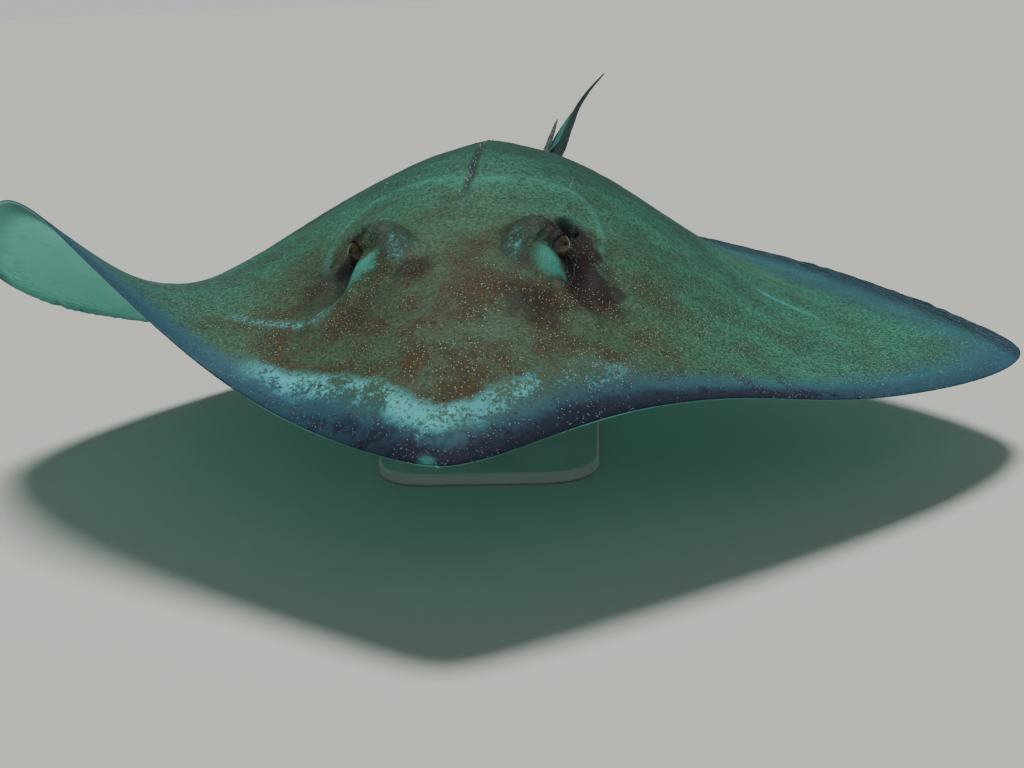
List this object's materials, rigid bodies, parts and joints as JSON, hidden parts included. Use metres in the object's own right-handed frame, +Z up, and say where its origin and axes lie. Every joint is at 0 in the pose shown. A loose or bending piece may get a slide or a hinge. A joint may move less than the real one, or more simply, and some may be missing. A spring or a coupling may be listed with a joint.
{
  "type": "southern stingray model on a display stand",
  "caption": "Life-size model of a southern stingray gliding with one wing raised, held over a flat base by short rods.",
  "frame": {"origin": "on the floor, under the middle of the stand's base", "axes": "+Z up, -Y the way the head points, +X to the animal's left"},
  "size_m": [1.0258, 2.3101, 0.3096],
  "materials": {
    "skin": "smooth moist skin, olive brown above with a blue-purple margin, off-white below",
    "iris": "wet golden eye with a dark slit",
    "bone": "dull ivory spine with saw edges",
    "base_paint": "satin pale grey paint",
    "rod_steel": "fine brushed steel"
  },
  "bodies": {
    "root": {"head": "skin", "trunk": "skin", "wing_left": "skin", "wing_right": "skin", "pelvic_fin_left": "skin", "pelvic_fin_right": "skin", "tail_base": "skin", "tail_middle": "skin", "tail_whip": "skin", "tail_fold": "skin", "eye_left": "iris", "eye_right": "iris", "tail_spine": "bone", "stand_base": "base_paint", "stand_rod_front": "rod_steel", "stand_rod_rear": "rod_steel"}
  },
  "joints": []
}
